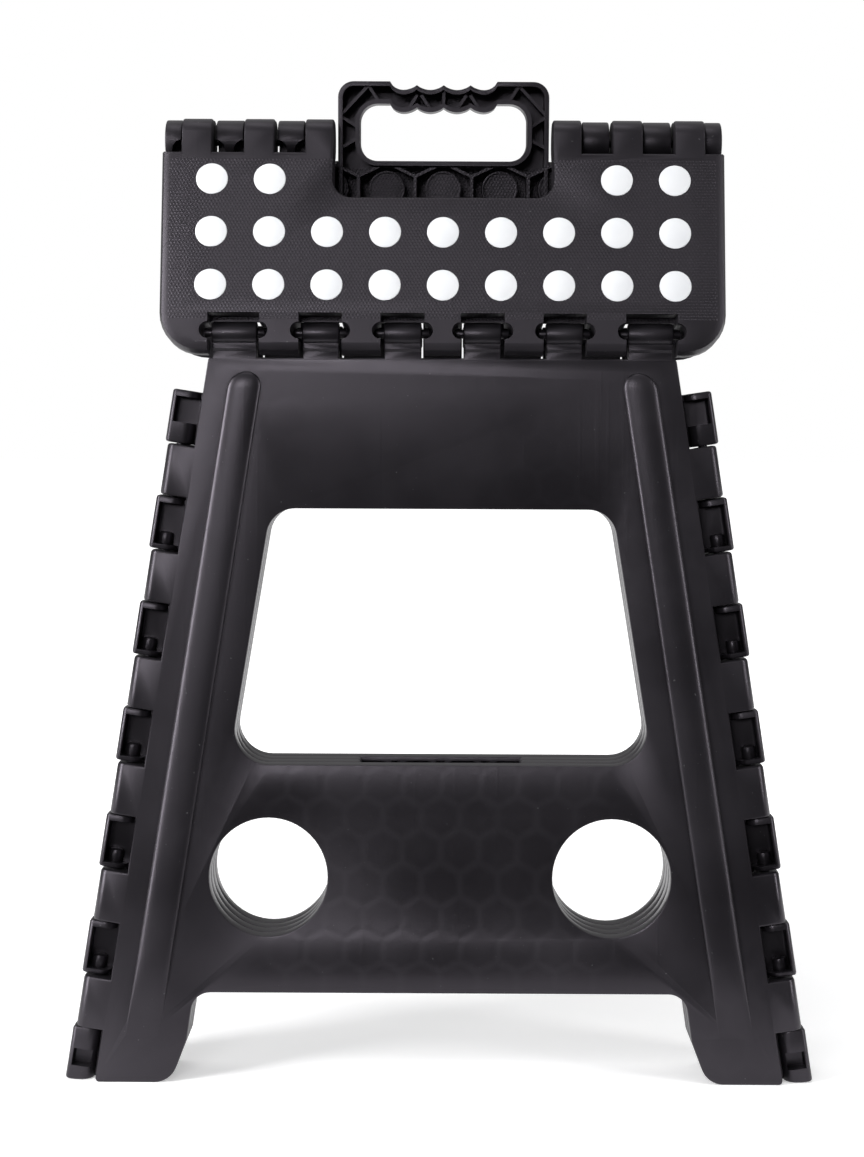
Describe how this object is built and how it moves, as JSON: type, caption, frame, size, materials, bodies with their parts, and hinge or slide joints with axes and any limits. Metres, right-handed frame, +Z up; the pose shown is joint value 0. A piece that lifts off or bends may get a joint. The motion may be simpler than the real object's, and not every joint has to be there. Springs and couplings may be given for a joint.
{
  "type": "folding step stool",
  "caption": "Folding plastic step stool, shown folded flat: two leg panels, hinged side panels and a two-part seat with a carrying handle and anti-slip dots.",
  "frame": {"origin": "on the floor, in the middle of the folded stool", "axes": "+Z up along the folded legs, +X to the right as seen from the front, -Y towards the front leg panel"},
  "size_m": [0.3902, 0.0624, 0.5262],
  "materials": {
    "black_plastic": "satin",
    "white_insert": "matte"
  },
  "bodies": {
    "front_legs": {"front_leg_panel": "black_plastic"},
    "right_front_side": {"right_front_side_panel": "black_plastic"},
    "left_front_side": {"left_front_side_panel": "black_plastic"},
    "right_rear_side": {"right_rear_side_panel": "black_plastic"},
    "left_rear_side": {"left_rear_side_panel": "black_plastic"},
    "rear_legs": {"rear_leg_panel": "black_plastic"},
    "front_seat": {"front_seat_half": "black_plastic", "front_dot_row1_1": "white_insert", "front_dot_row1_2": "white_insert", "front_dot_row1_8": "white_insert", "front_dot_row1_9": "white_insert", "front_dot_row2_1": "white_insert", "front_dot_row2_2": "white_insert", "front_dot_row2_3": "white_insert", "front_dot_row2_4": "white_insert", "front_dot_row2_5": "white_insert", "front_dot_row2_6": "white_insert", "front_dot_row2_7": "white_insert", "front_dot_row2_8": "white_insert", "front_dot_row2_9": "white_insert", "front_dot_row3_1": "white_insert", "front_dot_row3_2": "white_insert", "front_dot_row3_3": "white_insert", "front_dot_row3_4": "white_insert", "front_dot_row3_5": "white_insert", "front_dot_row3_6": "white_insert", "front_dot_row3_7": "white_insert", "front_dot_row3_8": "white_insert", "front_dot_row3_9": "white_insert"},
    "rear_seat": {"rear_seat_half": "black_plastic", "rear_dot_row1_1": "white_insert", "rear_dot_row1_2": "white_insert", "rear_dot_row1_3": "white_insert", "rear_dot_row1_4": "white_insert", "rear_dot_row1_5": "white_insert", "rear_dot_row1_6": "white_insert", "rear_dot_row1_7": "white_insert", "rear_dot_row1_8": "white_insert", "rear_dot_row1_9": "white_insert", "rear_dot_row2_1": "white_insert", "rear_dot_row2_2": "white_insert", "rear_dot_row2_3": "white_insert", "rear_dot_row2_4": "white_insert", "rear_dot_row2_5": "white_insert", "rear_dot_row2_6": "white_insert", "rear_dot_row2_7": "white_insert", "rear_dot_row2_8": "white_insert", "rear_dot_row2_9": "white_insert", "rear_dot_row3_1": "white_insert", "rear_dot_row3_2": "white_insert", "rear_dot_row3_3": "white_insert", "rear_dot_row3_4": "white_insert", "rear_dot_row3_5": "white_insert", "rear_dot_row3_6": "white_insert", "rear_dot_row3_7": "white_insert", "rear_dot_row3_8": "white_insert", "rear_dot_row3_9": "white_insert"}
  },
  "joints": [
    {"name": "fold", "type": "hinge", "parent": "front_legs", "child": "right_front_side", "pos_m": [0.1872, -0.01, 0], "axis": [0.1503, 0, -0.9886], "range_deg": [0, 91.32]},
    {"name": "left_front_hinge", "type": "hinge", "parent": "front_legs", "child": "left_front_side", "pos_m": [-0.1872, -0.01, 0], "axis": [0.1503, 0, 0.9886], "range_deg": [0, 91.33]},
    {"name": "right_middle_hinge", "type": "hinge", "parent": "right_front_side", "child": "right_rear_side", "pos_m": [0.033, 0, 0], "axis": [0, 0, 1], "range_deg": [0, 180.1]},
    {"name": "left_middle_hinge", "type": "hinge", "parent": "left_front_side", "child": "left_rear_side", "pos_m": [-0.033, 0, 0], "axis": [0, 0, -1], "range_deg": [0, 180.1]},
    {"name": "left_rear_hinge", "type": "hinge", "parent": "left_rear_side", "child": "rear_legs", "pos_m": [-0.1872, 0.01, 0], "axis": [0.1503, 0, 0.9886], "range_deg": [0, 91.33]},
    {"name": "front_seat_hinge", "type": "hinge", "parent": "front_legs", "child": "front_seat", "pos_m": [0, -0.019, 0.39], "axis": [-1, 0, 0], "range_deg": [0, 75.2]},
    {"name": "centre_seat_hinge", "type": "hinge", "parent": "front_seat", "child": "rear_seat", "pos_m": [0, 0, 0.49238], "axis": [1, 0, 0], "range_deg": [0, 167.9]}
  ],
  "couplings": [
    {"joint": "left_front_hinge", "follows": "fold", "ratio": 1},
    {"joint": "right_middle_hinge", "follows": "fold", "ratio": 1.971},
    {"joint": "left_middle_hinge", "follows": "fold", "ratio": 1.971},
    {"joint": "left_rear_hinge", "follows": "fold", "ratio": 1},
    {"joint": "front_seat_hinge", "follows": "fold", "ratio": 0.82289},
    {"joint": "centre_seat_hinge", "follows": "fold", "ratio": 1.8373}
  ]
}
